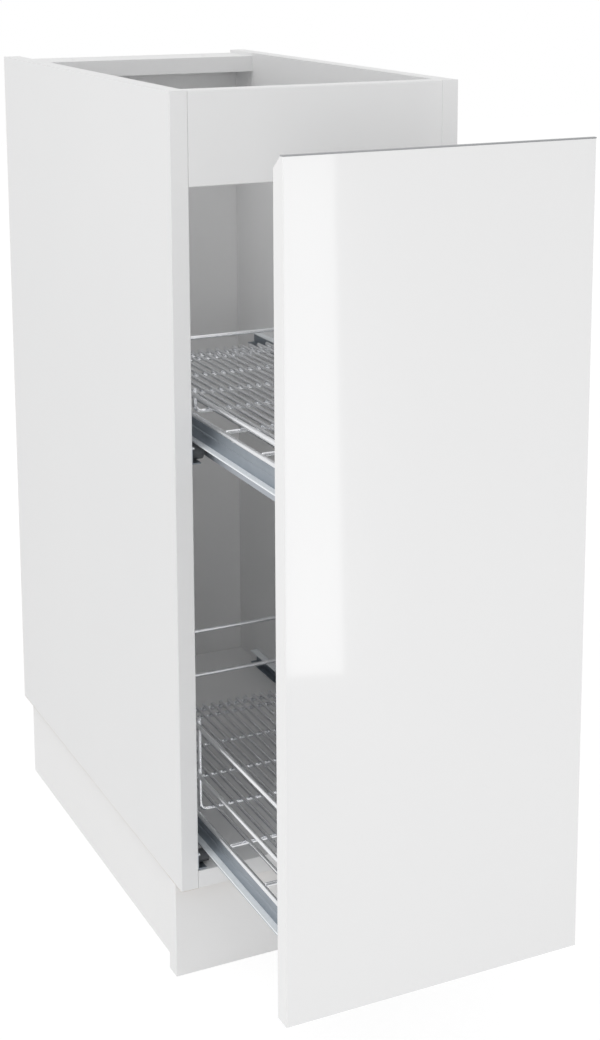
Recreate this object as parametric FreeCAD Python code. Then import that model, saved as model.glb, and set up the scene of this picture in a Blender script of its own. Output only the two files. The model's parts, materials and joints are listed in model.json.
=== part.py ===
import FreeCAD, Part
import math
import os

V = FreeCAD.Vector

# Base cabinet with two wire baskets on roller runners behind one front panel.
# Millimetres. While pieces are made, X points right, Y points into the cabinet from the plane
# of the carcass's front edges, and Z points up from the floor. The finished pieces are shifted
# in Y, so that the origin is the centre of the footprint on the floor.

# Carcass boards
cabinet_width = 300.0
cabinet_depth = 520.0
carcass_height = 780.0
board = 18.0
edge_radius = 1.0
front_rail_height = 88.0
rear_rail_depth = 67.0
rear_rail_drop = 3.5
back_board = 3.0
back_inset = 12.0
groove_depth = 8.0
groove_play = 0.2
dowel_radius = 4.0
dowel_in_side = 12.0
dowel_in_end = 22.0
dowel_play = 0.05
bottom_dowel_margin = 42.0
front_rail_dowel_margin = 22.0
rear_rail_dowel_margin = 13.0
worktop_hole_radius = 2.5
worktop_hole_spacing = 160.0

# Cutting shapes run past the faces that they open by the overrun, and screws stop short of
# the ends of their bores by the tip gap.
overrun = 1.0
screw_tip_gap = 1.0

# Plinth
plinth_height = 100.0
plinth_setback = 18.0
plinth_side_inset = 10.0
plinth_board = 18.0
block_size = 30.0
block_height = 70.0
plinth_screw_radius = 2.5
plinth_screw_grip = 14.0

# Front panel
panel_board = 18.0
panel_overhang = 7.0
panel_top_gap = 32.0
panel_side_gap = 2.0
lip_width = 4.8
bevel_height = 12.0
strip_thickness = 1.2
bumper_radius = 4.5
bumper_tip_radius = 3.6
bumper_thickness = 2.0
bumper_end_distance = 40.0
bumper_stand_off = 0.3
pull_out = 221.0

# Runner: a channel on the cabinet side and, under the basket, an angle whose web reaches
# below its lip as a skirt
runner_length = 450.0
runner_setback = 2.0
runner_floor_gap = 0.5
channel_steel = 1.2
channel_width = 9.3
channel_bend = 1.5
angle_steel = 1.5
angle_web_height = 20.2
angle_lip_width = 6.1
angle_gap = 1.0
angle_skirt_height = 9.6
bead_height = 4.0
bead_depth = 0.8
upper_runner_drop = 342.5
outward_travel = 131.0
stop_play = 0.5
stop_height = 7.0
stop_reach = 5.5
exit_cut_length = 34.0

# Rollers and their rivets
roller_radius = 6.5
roller_width = 11.2
roller_recess = 1.7
roller_recess_radius = 4.7
roller_collar_radius = 3.8
roller_chamfer = 0.7
roller_play = 0.3
roller_end_distance = 12.0
front_roller_offset = 3.6
rear_roller_offset = 4.0
rivet_radius = 2.5
rivet_play = 0.05
rivet_head_radius = 4.2
rivet_head_thickness = 1.3
tail_length = 24.0
tail_radius = 5.0
tail_ground_gap = 1.8

# Runner screws, on the 32 mm grid from the front edge
grid_first = 37.0
grid_pitch = 32.0
screw_grid_steps = (0, 7, 11)
slot_grid_steps = (2, 9)
runner_screw_radius = 2.5
runner_screw_grip = 12.0
runner_screw_head_radius = 4.4
runner_screw_head_thickness = 1.4
runner_hole_play = 0.3
slot_length = 12.0
slot_radius = 2.4

# Wire baskets
basket_length = 490.0
frame_wire = 2.5
rail_wire = 2.25
rib_wire = 2.0
floor_wire = 2.0
link_wire = 2.5
corner_radius = 14.0
rib_bend = 8.0
rib_rise = 2.0
weld_gap = 0.1
floor_pitch = 10.1
cross_bars = 4
lower_rail_heights = (42.0, 94.0)
upper_rail_heights = (20.0,)
end_rib_distance = 22.0
middle_rib_distance = 266.0
link_side_distance = 33.0

# Front brackets, from each basket to the front panel
bracket_steel = 2.0
bracket_bend = 1.8
bracket_width = 30.0
bracket_leg = 54.0
bracket_lift = 3.7
bracket_top_rise = 6.0
bracket_screw_side = 15.0
bracket_slot_radius = 2.6
bracket_slot_length = 9.6
bracket_screw_radius = 2.0
bracket_screw_grip = 13.0
bracket_head_radius = 3.9
bracket_head_thickness = 2.1
lower_screw_heights = (-12.5, 20.5, 68.0)
upper_screw_heights = (-12.5, 10.2)

# Worked out from the sizes above
half_width = cabinet_width / 2
inner_half = half_width - board
carcass_top = plinth_height + carcass_height
rear_rail_top = carcass_top - rear_rail_drop
floor_top = plinth_height + board
back_face = cabinet_depth - back_inset - back_board
panel_top = carcass_top - panel_top_gap
panel_bottom = plinth_height - panel_overhang
panel_half = half_width - panel_side_gap
panel_back = -pull_out
panel_front = panel_back - panel_board

channel_base = floor_top + runner_floor_gap
track_top = channel_base + channel_steel
roller_axis = track_top + roller_play + roller_radius
level_spacing = carcass_top - upper_runner_drop - roller_axis
lip_base = roller_axis + roller_radius + roller_play
channel_top = lip_base + channel_steel
web_top = lip_base + angle_web_height
angle_offset = channel_width + angle_gap + angle_lip_width
angle_inner_offset = angle_offset + angle_steel

basket_front = panel_back + bracket_steel
basket_rear = basket_front + basket_length
frame_height = web_top + weld_gap + frame_wire
frame_half = inner_half - angle_offset - angle_steel / 2
frame_front = basket_front + weld_gap + frame_wire
frame_rear = basket_rear - frame_wire
rib_half = frame_half - frame_wire - weld_gap - rib_wire
rib_height = frame_height + frame_wire - rib_wire
floor_height = frame_height + frame_wire + weld_gap + floor_wire
front_roller_y = runner_setback + roller_end_distance
rear_roller_y = basket_front + runner_length - roller_end_distance
footprint_centre = (panel_front + cabinet_depth) / 2
levels = {"lower": 0.0, "upper": level_spacing}
rail_heights = {"lower": lower_rail_heights, "upper": upper_rail_heights}
screw_heights = {"lower": lower_screw_heights, "upper": upper_screw_heights}

pieces = {}


def keep(name, shape):
    """Store a finished piece under its name, with the origin moved to the footprint's centre."""
    if not shape.isValid():
        raise ValueError(name + " is not a valid solid")
    shape.translate(V(0, -footprint_centre, 0))
    pieces[name] = shape


def block(x0, x1, y0, y1, z0, z1):
    """A box between two opposite corners."""
    return Part.makeBox(x1 - x0, y1 - y0, z1 - z0, V(x0, y0, z0))


def rod(start, end, radius):
    """A round bar from one point to another."""
    along = end.sub(start)
    return Part.makeCylinder(radius, along.Length, start, along)


def mirrored(shape):
    """The same shape on the other side of the middle plane."""
    return shape.mirror(V(0, 0, 0), V(1, 0, 0))


def both_sides(shapes):
    """The shapes together with their mirror images, as one group."""
    return Part.makeCompound(list(shapes) + [mirrored(shape) for shape in shapes])


def prism(points, along):
    """A closed outline of straight sides, pushed along a vector."""
    return Part.Face(Part.makePolygon(points + [points[0]])).extrude(along)


def edges_where(shape, test):
    """The edges whose middle point and direction pass a test."""
    found = []
    for edge in shape.Edges:
        middle = edge.valueAt((edge.FirstParameter + edge.LastParameter) / 2)
        ends = [vertex.Point for vertex in edge.Vertexes]
        along = ends[-1].sub(ends[0]) if len(ends) > 1 else V(0, 0, 0)
        if test(middle, along):
            found.append(edge)
    return found


def near(a, b):
    return abs(a - b) < 1e-4


def bent_wire(points, bend, radius, closed=False):
    """A round wire along straight runs joined by tangent arcs of one bend radius."""
    corners = points if closed else points[1:-1]
    count = len(points)
    arcs = []
    for i, corner in enumerate(corners):
        here = i if closed else i + 1
        before = points[here - 1]
        after = points[(here + 1) % count]
        to_before = before.sub(corner).normalize()
        to_after = after.sub(corner).normalize()
        half_angle = to_before.getAngle(to_after) / 2
        reach = bend / math.tan(half_angle)
        toward_centre = to_before.add(to_after).normalize()
        centre = corner.add(toward_centre.multiply(bend / math.sin(half_angle)))
        middle = centre.add(corner.sub(centre).normalize().multiply(bend))
        arcs.append((corner.add(to_before.multiply(reach)), middle, corner.add(to_after.multiply(reach))))
    edges = []
    if closed:
        for i, (start, middle, end) in enumerate(arcs):
            edges.append(Part.Arc(start, middle, end).toShape())
            edges.append(Part.LineSegment(end, arcs[(i + 1) % count][0]).toShape())
        edges = edges[1:] + edges[:1]
    else:
        here = points[0]
        for start, middle, end in arcs:
            edges.append(Part.LineSegment(here, start).toShape())
            edges.append(Part.Arc(start, middle, end).toShape())
            here = end
        edges.append(Part.LineSegment(here, points[-1]).toShape())
    first = edges[0]
    start = first.valueAt(first.FirstParameter)
    circle = Part.Circle(start, first.tangentAt(first.FirstParameter), radius).toShape()
    return Part.Wire(edges).makePipeShell([Part.Wire([circle])], True, False)


def slot_x(x0, x1, y, z, radius, length):
    """A slot through a plate that faces X, its long way along Y."""
    half = length / 2 - radius
    shape = block(x0, x1, y - half, y + half, z - radius, z + radius)
    for end in (y - half, y + half):
        shape = shape.fuse(rod(V(x0, end, z), V(x1, end, z), radius))
    return shape


def slot_y(y0, y1, x, z, radius, length):
    """A slot through a plate that faces Y, its long way along Z."""
    half = length / 2 - radius
    shape = block(x - radius, x + radius, y0, y1, z - half, z + half)
    for end in (z - half, z + half):
        shape = shape.fuse(rod(V(x, y0, end), V(x, y1, end), radius))
    return shape


def turned(profile, y, z):
    """A closed outline of (x, radius) points turned about the X line through y and z."""
    points = [V(x, y, z + radius) for x, radius in profile]
    face = Part.Face(Part.makePolygon(points + [points[0]]))
    return face.revolve(V(0, y, z), V(1, 0, 0), 360)


def from_wall(offset):
    """The X on the left side of the cabinet at a distance from its inner wall."""
    return -inner_half + offset


# Dowels: (y, z) of each where a board meets a side
bottom_dowels = [
    (bottom_dowel_margin, plinth_height + board / 2),
    (cabinet_depth / 2, plinth_height + board / 2),
    (cabinet_depth - bottom_dowel_margin, plinth_height + board / 2),
]
front_rail_dowels = [
    (board / 2, carcass_top - front_rail_dowel_margin),
    (board / 2, carcass_top - front_rail_height + front_rail_dowel_margin),
]
rear_rail_dowels = [
    (cabinet_depth - rear_rail_depth + rear_rail_dowel_margin, rear_rail_top - board / 2),
    (back_face - rear_rail_dowel_margin, rear_rail_top - board / 2),
]
all_dowels = bottom_dowels + front_rail_dowels + rear_rail_dowels


def dowel_bores(spots, inward, outward):
    """Bores about the left side's inner face for the dowels at some spots."""
    reach = dowel_radius + dowel_play
    return [rod(V(from_wall(-outward), y, z), V(from_wall(inward), y, z), reach) for y, z in spots]


def screw_rows():
    """Y of the runner screws, on the grid from the carcass's front edge."""
    return [grid_first + grid_pitch * step for step in screw_grid_steps]


def side_panel():
    """Left side: edge-banded board with the back's groove, dowel bores and runner screw bores."""
    shape = block(-half_width, -inner_half, 0, cabinet_depth, plinth_height, carcass_top)
    front = edges_where(shape, lambda p, d: near(p.y, 0) and abs(d.z) > carcass_height / 2)
    shape = shape.makeFillet(edge_radius, front)
    cuts = [
        block(
            from_wall(-groove_depth),
            from_wall(overrun),
            back_face - groove_play,
            back_face + back_board + groove_play,
            floor_top - groove_depth,
            rear_rail_top - board + groove_depth,
        )
    ]
    cuts += dowel_bores(all_dowels, overrun, dowel_in_side)
    for lift in levels.values():
        for y in screw_rows():
            start = V(from_wall(overrun), y, roller_axis + lift)
            end = V(from_wall(-runner_screw_grip), y, roller_axis + lift)
            cuts.append(rod(start, end, runner_screw_radius + dowel_play))
    return shape.cut(cuts)


def end_bores(spots):
    """The bores that the same dowels need in both ends of the board between the sides."""
    left = dowel_bores(spots, dowel_in_end, overrun)
    return left + [mirrored(bore) for bore in left]


def bottom_panel():
    shape = block(-inner_half, inner_half, 0, cabinet_depth, plinth_height, floor_top)
    front = edges_where(shape, lambda p, d: near(p.y, 0) and abs(d.x) > inner_half)
    shape = shape.makeFillet(edge_radius, front)
    groove = block(
        -half_width,
        half_width,
        back_face - groove_play,
        back_face + back_board + groove_play,
        floor_top - groove_depth,
        floor_top + overrun,
    )
    low, high = plinth_height - overrun, plinth_height + plinth_screw_grip
    screw_bores = [
        rod(V(x, y, low), V(x, y, high), plinth_screw_radius + dowel_play) for x, y in block_centres()
    ]
    return shape.cut([groove] + end_bores(bottom_dowels) + screw_bores)


def back_panel():
    reach = inner_half + groove_depth - groove_play
    return block(
        -reach,
        reach,
        back_face,
        back_face + back_board,
        floor_top - groove_depth + groove_play,
        rear_rail_top - board + groove_depth - groove_play,
    )


def front_top_rail():
    """Upright rail across the front, flush with the sides."""
    shape = block(-inner_half, inner_half, 0, board, carcass_top - front_rail_height, carcass_top)
    front = edges_where(shape, lambda p, d: near(p.y, 0) and abs(d.x) > inner_half)
    return shape.makeFillet(edge_radius, front).cut(end_bores(front_rail_dowels))


def rear_top_rail():
    """Flat rail across the rear, a little below the sides' tops, grooved for the back and bored
    for two worktop screws."""
    front = cabinet_depth - rear_rail_depth
    low, high = rear_rail_top - board, rear_rail_top
    shape = block(-inner_half, inner_half, front, cabinet_depth, low, high)
    groove = block(
        -half_width,
        half_width,
        back_face - groove_play,
        back_face + back_board + groove_play,
        low - overrun,
        low + groove_depth,
    )
    middle = (front + back_face) / 2
    bores = [
        rod(V(x, middle, low - overrun), V(x, middle, high + overrun), worktop_hole_radius)
        for x in (-worktop_hole_spacing / 2, worktop_hole_spacing / 2)
    ]
    return shape.cut([groove] + bores + end_bores(rear_rail_dowels))


def carcass_dowels():
    left = [rod(V(from_wall(-dowel_in_side), y, z), V(from_wall(dowel_in_end), y, z), dowel_radius)
            for y, z in all_dowels]
    return both_sides(left)


def block_centres():
    """(x, y) of the four corner blocks inside the plinth."""
    x = half_width - plinth_side_inset - plinth_board - block_size / 2
    front = plinth_setback + plinth_board + block_size / 2
    rear = cabinet_depth - plinth_board - block_size / 2
    return [(side * x, y) for side in (-1, 1) for y in (front, rear)]


def plinth_front():
    rear = plinth_setback + plinth_board
    shape = block(-half_width, half_width, plinth_setback, rear, 0, plinth_height)
    ends = edges_where(shape, lambda p, d: near(p.y, plinth_setback) and abs(d.z) > plinth_height / 2)
    return shape.makeFillet(edge_radius, ends)


def plinth_side():
    outer = -half_width + plinth_side_inset
    front = plinth_setback + plinth_board
    return block(outer, outer + plinth_board, front, cabinet_depth, 0, plinth_height)


def plinth_back():
    reach = half_width - plinth_side_inset - plinth_board
    return block(-reach, reach, cabinet_depth - plinth_board, cabinet_depth, 0, plinth_height)


def plinth_blocks():
    """Glued corner blocks under the bottom board, each bored and sunk for one long screw."""
    shapes = []
    half = block_size / 2
    for x, y in block_centres():
        low = plinth_height - block_height
        shape = block(x - half, x + half, y - half, y + half, low, plinth_height)
        start = V(x, y, low - overrun)
        bore = rod(start, V(x, y, plinth_height + overrun), plinth_screw_radius + dowel_play)
        sink = rod(start, V(x, y, low + block_height / 2), 2 * plinth_screw_radius)
        shapes.append(shape.cut([bore, sink]))
    return Part.makeCompound(shapes)


def plinth_screws():
    shapes = []
    for x, y in block_centres():
        seat = plinth_height - block_height / 2
        tip = plinth_height + plinth_screw_grip - screw_tip_gap
        shank = rod(V(x, y, seat), V(x, y, tip), plinth_screw_radius)
        low = seat - plinth_screw_radius
        head = rod(V(x, y, low), V(x, y, seat), 2 * plinth_screw_radius - dowel_play)
        shapes.append(shank.fuse(head).removeSplitter())
    return Part.makeCompound(shapes)


def channel_section():
    """C-shaped sheet section, open toward the basket, with rounded outer bends."""
    low, high, bend, steel = channel_base, channel_top, channel_bend, channel_steel
    y = runner_setback

    def at(offset, z):
        return V(from_wall(offset), y, z)

    swing = bend * (1 - math.sqrt(0.5))
    lines = [
        Part.LineSegment(at(channel_width, low), at(bend, low)),
        Part.Arc(at(bend, low), at(swing, low + swing), at(0, low + bend)),
        Part.LineSegment(at(0, low + bend), at(0, high - bend)),
        Part.Arc(at(0, high - bend), at(swing, high - swing), at(bend, high)),
        Part.LineSegment(at(bend, high), at(channel_width, high)),
        Part.LineSegment(at(channel_width, high), at(channel_width, high - steel)),
        Part.LineSegment(at(channel_width, high - steel), at(steel, high - steel)),
        Part.LineSegment(at(steel, high - steel), at(steel, low + steel)),
        Part.LineSegment(at(steel, low + steel), at(channel_width, low + steel)),
        Part.LineSegment(at(channel_width, low + steel), at(channel_width, low)),
    ]
    return Part.Face(Part.Wire([line.toShape() for line in lines]))


def cabinet_rail(lift):
    """Channel on the cabinet side: drop-in cut at the front, lanced stop, screw holes and slots."""
    shape = channel_section().extrude(V(0, runner_length, 0))
    wall, tip = from_wall(-overrun), from_wall(channel_width + overrun)
    cuts = [
        block(
            from_wall(channel_steel + channel_bend),
            tip,
            runner_setback - overrun,
            runner_setback + exit_cut_length,
            channel_top - channel_steel,
            channel_top + overrun,
        )
    ]
    inside = from_wall(channel_steel + overrun)
    hole_radius = runner_screw_radius + runner_hole_play
    for y in screw_rows():
        cuts.append(rod(V(wall, y, roller_axis), V(inside, y, roller_axis), hole_radius))
    for step in slot_grid_steps:
        y = grid_first + grid_pitch * step
        cuts.append(slot_x(wall, inside, y, roller_axis, slot_radius, slot_length))
    stop_y = rear_roller_y - outward_travel - roller_radius - stop_play - channel_steel
    stop_low, stop_high = roller_axis - stop_height / 2, roller_axis + stop_height / 2
    cuts.append(block(wall, inside, stop_y - stop_reach, stop_y, stop_low, stop_high))
    rivet_hole = rivet_radius + rivet_play
    cuts.append(rod(V(wall, front_roller_y, roller_axis), V(inside, front_roller_y, roller_axis), rivet_hole))
    shape = shape.cut(cuts)
    stop = block(
        from_wall(0),
        from_wall(channel_steel + stop_reach),
        stop_y,
        stop_y + channel_steel,
        stop_low,
        stop_high,
    )
    shape = shape.fuse(stop).removeSplitter()
    shape.translate(V(0, 0, lift))
    return shape


def basket_rail(lift):
    """Angle under the basket's side: beaded web, rolling lip, skirt and the rear roller's tail."""
    outer, inner = from_wall(angle_offset), from_wall(angle_inner_offset)
    bead_middle = lip_base + (angle_steel + angle_web_height) / 2
    bead_low, bead_high = bead_middle - bead_height / 2, bead_middle + bead_height / 2
    tip = from_wall(channel_width + angle_gap)
    skirt_low = lip_base - angle_skirt_height
    front, rear = basket_front, basket_front + runner_length

    def at(x, z):
        return V(x, front, z)

    outline = [
        at(tip, lip_base),
        at(outer, lip_base),
        at(outer, skirt_low),
        at(inner, skirt_low),
        at(inner, bead_low),
        at(inner - bead_depth, bead_low + bead_depth),
        at(inner - bead_depth, bead_high - bead_depth),
        at(inner, bead_high),
        at(inner, web_top),
        at(outer, web_top),
        at(outer, bead_high),
        at(outer - bead_depth, bead_high - bead_depth),
        at(outer - bead_depth, bead_low + bead_depth),
        at(outer, bead_low),
        at(outer, lip_base + angle_steel),
        at(tip, lip_base + angle_steel),
    ]
    shape = prism(outline, V(0, runner_length, 0))
    low = floor_top + tail_ground_gap
    tail = block(outer, inner, rear - tail_length, rear, low, lip_base)
    rounded = edges_where(tail, lambda p, d: near(p.z, low) and abs(d.x) > angle_steel / 2)
    tail = tail.makeFillet(tail_radius, rounded)
    shape = shape.fuse(tail).removeSplitter()
    start = V(outer - overrun, rear_roller_y, roller_axis)
    end = V(inner + overrun, rear_roller_y, roller_axis)
    shape = shape.cut(rod(start, end, rivet_radius + rivet_play))
    shape.translate(V(0, 0, lift))
    return shape


def roller_outline(body_start, collar_end, recess_end):
    """Half section of a roller whose collar faces one way and whose recessed hub faces the other."""
    toward = 1 if recess_end > body_start else -1
    bore = rivet_radius + rivet_play
    corner = roller_chamfer
    return [
        (collar_end, bore),
        (collar_end, roller_collar_radius),
        (body_start, roller_collar_radius),
        (body_start, roller_radius - corner),
        (body_start + toward * corner, roller_radius),
        (recess_end - toward * corner, roller_radius),
        (recess_end, roller_radius - corner),
        (recess_end, roller_recess_radius),
        (recess_end - toward * roller_recess, roller_recess_radius),
        (recess_end - toward * roller_recess, bore),
    ]


def front_roller(lift):
    """Roller on the channel's front end, under the basket rail's lip."""
    start = from_wall(front_roller_offset)
    outline = roller_outline(start, from_wall(channel_steel + rivet_play), start + roller_width)
    return turned(outline, front_roller_y, roller_axis + lift)


def rear_roller(lift):
    """Roller on the basket rail's tail, inside the channel."""
    start = from_wall(rear_roller_offset + roller_width)
    outline = roller_outline(start, from_wall(angle_offset - rivet_play), start - roller_width)
    return turned(outline, rear_roller_y, roller_axis + lift)


def rivet(x_foot, x_head, toward, y, z, foot_head=False):
    """Rivet along X from its foot to the underside of its head."""
    shape = rod(V(x_foot, y, z), V(x_head, y, z), rivet_radius)
    head = rod(V(x_head, y, z), V(x_head + toward * rivet_head_thickness, y, z), rivet_head_radius)
    shape = shape.fuse(head)
    if foot_head:
        foot = rod(V(x_foot, y, z), V(x_foot - toward * rivet_head_thickness, y, z), rivet_head_radius)
        shape = shape.fuse(foot)
    return shape.removeSplitter()


def front_roller_rivets():
    head = from_wall(front_roller_offset + roller_width - roller_recess + rivet_play)
    left = [rivet(from_wall(0), head, 1, front_roller_y, roller_axis + lift) for lift in levels.values()]
    return both_sides(left)


def rear_roller_rivets():
    foot = from_wall(angle_inner_offset)
    head = from_wall(rear_roller_offset + roller_recess - rivet_play)
    left = [rivet(foot, head, -1, rear_roller_y, roller_axis + lift, True) for lift in levels.values()]
    return both_sides(left)


def runner_screws():
    left = []
    for lift in levels.values():
        for y in screw_rows():
            z = roller_axis + lift
            seat = from_wall(channel_steel)
            tip = from_wall(screw_tip_gap - runner_screw_grip)
            shank = rod(V(tip, y, z), V(seat, y, z), runner_screw_radius)
            top = from_wall(channel_steel + runner_screw_head_thickness)
            head = rod(V(seat, y, z), V(top, y, z), runner_screw_head_radius)
            left.append(shank.fuse(head).removeSplitter())
    return both_sides(left)


def loop(x_half, y_front, y_rear, z, radius):
    """One closed wire loop with rounded corners, lying flat."""
    corners = [V(-x_half, y_front, z), V(x_half, y_front, z), V(x_half, y_rear, z), V(-x_half, y_rear, z)]
    return bent_wire(corners, corner_radius, radius, closed=True)


def basket_frame(lift):
    return loop(frame_half, frame_front, frame_rear, frame_height + lift, frame_wire)


def basket_guard(lift, rise):
    """Guard loop above the frame, its outer edge in line with the frame at the ends."""
    inset = frame_wire - rail_wire
    height = frame_height + lift + rise
    return loop(frame_half - inset, frame_front - inset, frame_rear + inset, height, rail_wire)


def rib_rows():
    """Y of the three upright ribs."""
    return [
        basket_front + end_rib_distance,
        basket_front + middle_rib_distance,
        basket_rear - end_rib_distance,
    ]


def basket_ribs(lift, top_rise):
    """U-shaped ribs that pass under the floor and up inside the loops."""
    low = rib_height + lift
    high = frame_height + lift + top_rise + rail_wire + rib_rise
    shapes = []
    for y in rib_rows():
        points = [V(-rib_half, y, high), V(-rib_half, y, low), V(rib_half, y, low), V(rib_half, y, high)]
        shapes.append(bent_wire(points, rib_bend, rib_wire))
    return Part.makeCompound(shapes)


def cross_bar_rows():
    """Y of the straight bars, evenly spread between the ribs."""
    front, middle, rear = rib_rows()
    per_bay = cross_bars // 2
    rows = []
    for start, end in ((front, middle), (middle, rear)):
        rows += [start + (end - start) * (i + 1) / (per_bay + 1) for i in range(per_bay)]
    return rows


def floor_columns():
    """X of the floor wires, centred, clear of the ribs' bends."""
    span = rib_half - rib_bend - floor_wire
    count = int(2 * span / floor_pitch)
    return [floor_pitch * (i - count / 2) for i in range(count + 1)]


def basket_floor(lift):
    """Lengthwise floor wires over straight cross bars; each wire ends over the frame loop."""
    shapes = []
    z = floor_height + lift
    for x in floor_columns():
        past = max(0.0, abs(x) - (frame_half - corner_radius))
        trim = corner_radius - math.sqrt(corner_radius**2 - past**2)
        front = frame_front + trim - frame_wire / 2
        rear = frame_rear - trim + frame_wire / 2
        shapes.append(rod(V(x, front, z), V(x, rear, z), floor_wire))
    reach = frame_half - frame_wire - weld_gap
    for y in cross_bar_rows():
        shapes.append(rod(V(-reach, y, rib_height + lift), V(reach, y, rib_height + lift), rib_wire))
    return Part.makeCompound(shapes)


def link_rods():
    """Upright rods that join the two baskets at their rear corners."""
    x = -(frame_half - link_side_distance)
    y = basket_rear + weld_gap + link_wire
    low = frame_height - frame_wire
    high = frame_height + level_spacing + frame_wire
    return both_sides([rod(V(x, y, low), V(x, y, high), link_wire)])


def bracket_screw_x():
    return from_wall(angle_inner_offset + bracket_screw_side)


def front_bracket(lift, heights, top_rise):
    """Bent plate: one leg on the front panel, slotted, the other along the basket rail's web."""
    outer = from_wall(angle_inner_offset + weld_gap)
    low = lip_base + bracket_lift
    high = frame_height + top_rise + bracket_top_rise
    face = block(outer, outer + bracket_width, panel_back, basket_front, low, high)
    leg = block(outer, outer + bracket_steel, panel_back, panel_back + bracket_leg, low, web_top)
    shape = face.fuse(leg).removeSplitter()
    bend = edges_where(shape, lambda p, d: near(p.x, outer) and near(p.y, panel_back) and d.z != 0)
    shape = shape.makeFillet(bracket_bend, bend)
    slots = [
        slot_y(
            panel_back - overrun,
            basket_front + overrun,
            bracket_screw_x(),
            frame_height + height,
            bracket_slot_radius,
            bracket_slot_length,
        )
        for height in heights
    ]
    shape = shape.cut(slots)
    shape.translate(V(0, 0, lift))
    return shape


def bracket_spots():
    """(x, z) of each bracket screw on the left side."""
    x = bracket_screw_x()
    return [(x, frame_height + levels[name] + h) for name in levels for h in screw_heights[name]]


def bracket_screws():
    left = []
    for x, z in bracket_spots():
        seat = V(x, basket_front, z)
        tip = V(x, panel_back - bracket_screw_grip + screw_tip_gap, z)
        shank = rod(tip, seat, bracket_screw_radius)
        head = rod(seat, V(x, basket_front + bracket_head_thickness, z), bracket_head_radius)
        left.append(shank.fuse(head).removeSplitter())
    return both_sides(left)


def front_panel():
    """Handle-less front: its back is bevelled at the top, which leaves a lip to pull by."""
    top = panel_top - strip_thickness
    outline = [
        V(-panel_half, panel_front, panel_bottom),
        V(-panel_half, panel_back, panel_bottom),
        V(-panel_half, panel_back, panel_top - bevel_height),
        V(-panel_half, panel_front + lip_width, top),
        V(-panel_half, panel_front, top),
    ]
    shape = prism(outline, V(2 * panel_half, 0, 0))
    visible = edges_where(shape, lambda p, d: near(p.y, panel_front) and not near(p.z, top))
    shape = shape.makeFillet(edge_radius, visible)
    bores = []
    for x, z in bracket_spots():
        for side in (x, -x):
            start, end = V(side, panel_back + overrun, z), V(side, panel_back - bracket_screw_grip, z)
            bores.append(rod(start, end, bracket_screw_radius + dowel_play))
    return shape.cut(bores)


def grip_strip():
    """Metal edge strip along the top of the lip."""
    low = panel_top - strip_thickness
    return block(-panel_half, panel_half, panel_front, panel_front + lip_width, low, panel_top)


def bumpers():
    """Soft pads on the panel's back, opposite the edges of the cabinet's sides."""
    x = -(half_width - board / 2)
    left = []
    for z in (panel_bottom + bumper_end_distance, panel_top - bumper_end_distance):
        foot = V(x, panel_back, z)
        left.append(Part.makeCone(bumper_radius, bumper_tip_radius, bumper_thickness, foot, V(0, 1, 0)))
    return both_sides(left)


def make_carcass():
    left = side_panel()
    keep("side_panel_right", mirrored(left))
    keep("side_panel_left", left)
    keep("bottom_panel", bottom_panel())
    keep("back_panel", back_panel())
    keep("front_top_rail", front_top_rail())
    keep("rear_top_rail", rear_top_rail())
    keep("carcass_dowels", carcass_dowels())


def make_plinth():
    left = plinth_side()
    keep("plinth_front", plinth_front())
    keep("plinth_side_right", mirrored(left))
    keep("plinth_side_left", left)
    keep("plinth_back", plinth_back())
    keep("plinth_corner_blocks", plinth_blocks())
    keep("plinth_screws", plinth_screws())


def make_runners():
    makers = {
        "cabinet_rail": cabinet_rail,
        "basket_rail": basket_rail,
        "front_roller": front_roller,
        "rear_roller": rear_roller,
    }
    for level, lift in levels.items():
        for name, maker in makers.items():
            left = maker(lift)
            keep(f"{level}_{name}_right", mirrored(left))
            keep(f"{level}_{name}_left", left)
    keep("front_roller_rivets", front_roller_rivets())
    keep("rear_roller_rivets", rear_roller_rivets())
    keep("runner_screws", runner_screws())


def make_baskets():
    for level, lift in levels.items():
        rises = rail_heights[level]
        keep(f"{level}_basket_frame", basket_frame(lift))
        for number, rise in enumerate(rises, 1):
            keep(f"{level}_basket_guard_{number}", basket_guard(lift, rise))
        keep(f"{level}_basket_ribs", basket_ribs(lift, rises[-1]))
        keep(f"{level}_basket_floor", basket_floor(lift))
        left = front_bracket(lift, screw_heights[level], rises[-1])
        keep(f"{level}_front_bracket_right", mirrored(left))
        keep(f"{level}_front_bracket_left", left)
    keep("basket_link_rods", link_rods())
    keep("bracket_screws", bracket_screws())


def make_front():
    keep("front_panel", front_panel())
    keep("grip_edge_strip", grip_strip())
    keep("front_bumpers", bumpers())


make_carcass()
make_plinth()
make_runners()
make_baskets()
make_front()

os.makedirs("parts", exist_ok=True)
for name, shape in pieces.items():
    shape.exportStep(f"parts/{name}.step")
    print(f"{name}: {len(shape.Solids)} solids, {shape.Volume:.0f} mm3, {len(shape.Faces)} faces")
print(f"{len(pieces)} pieces, closed travel {pull_out - bumper_thickness - bumper_stand_off:.1f} mm")
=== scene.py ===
import json
import math

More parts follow.
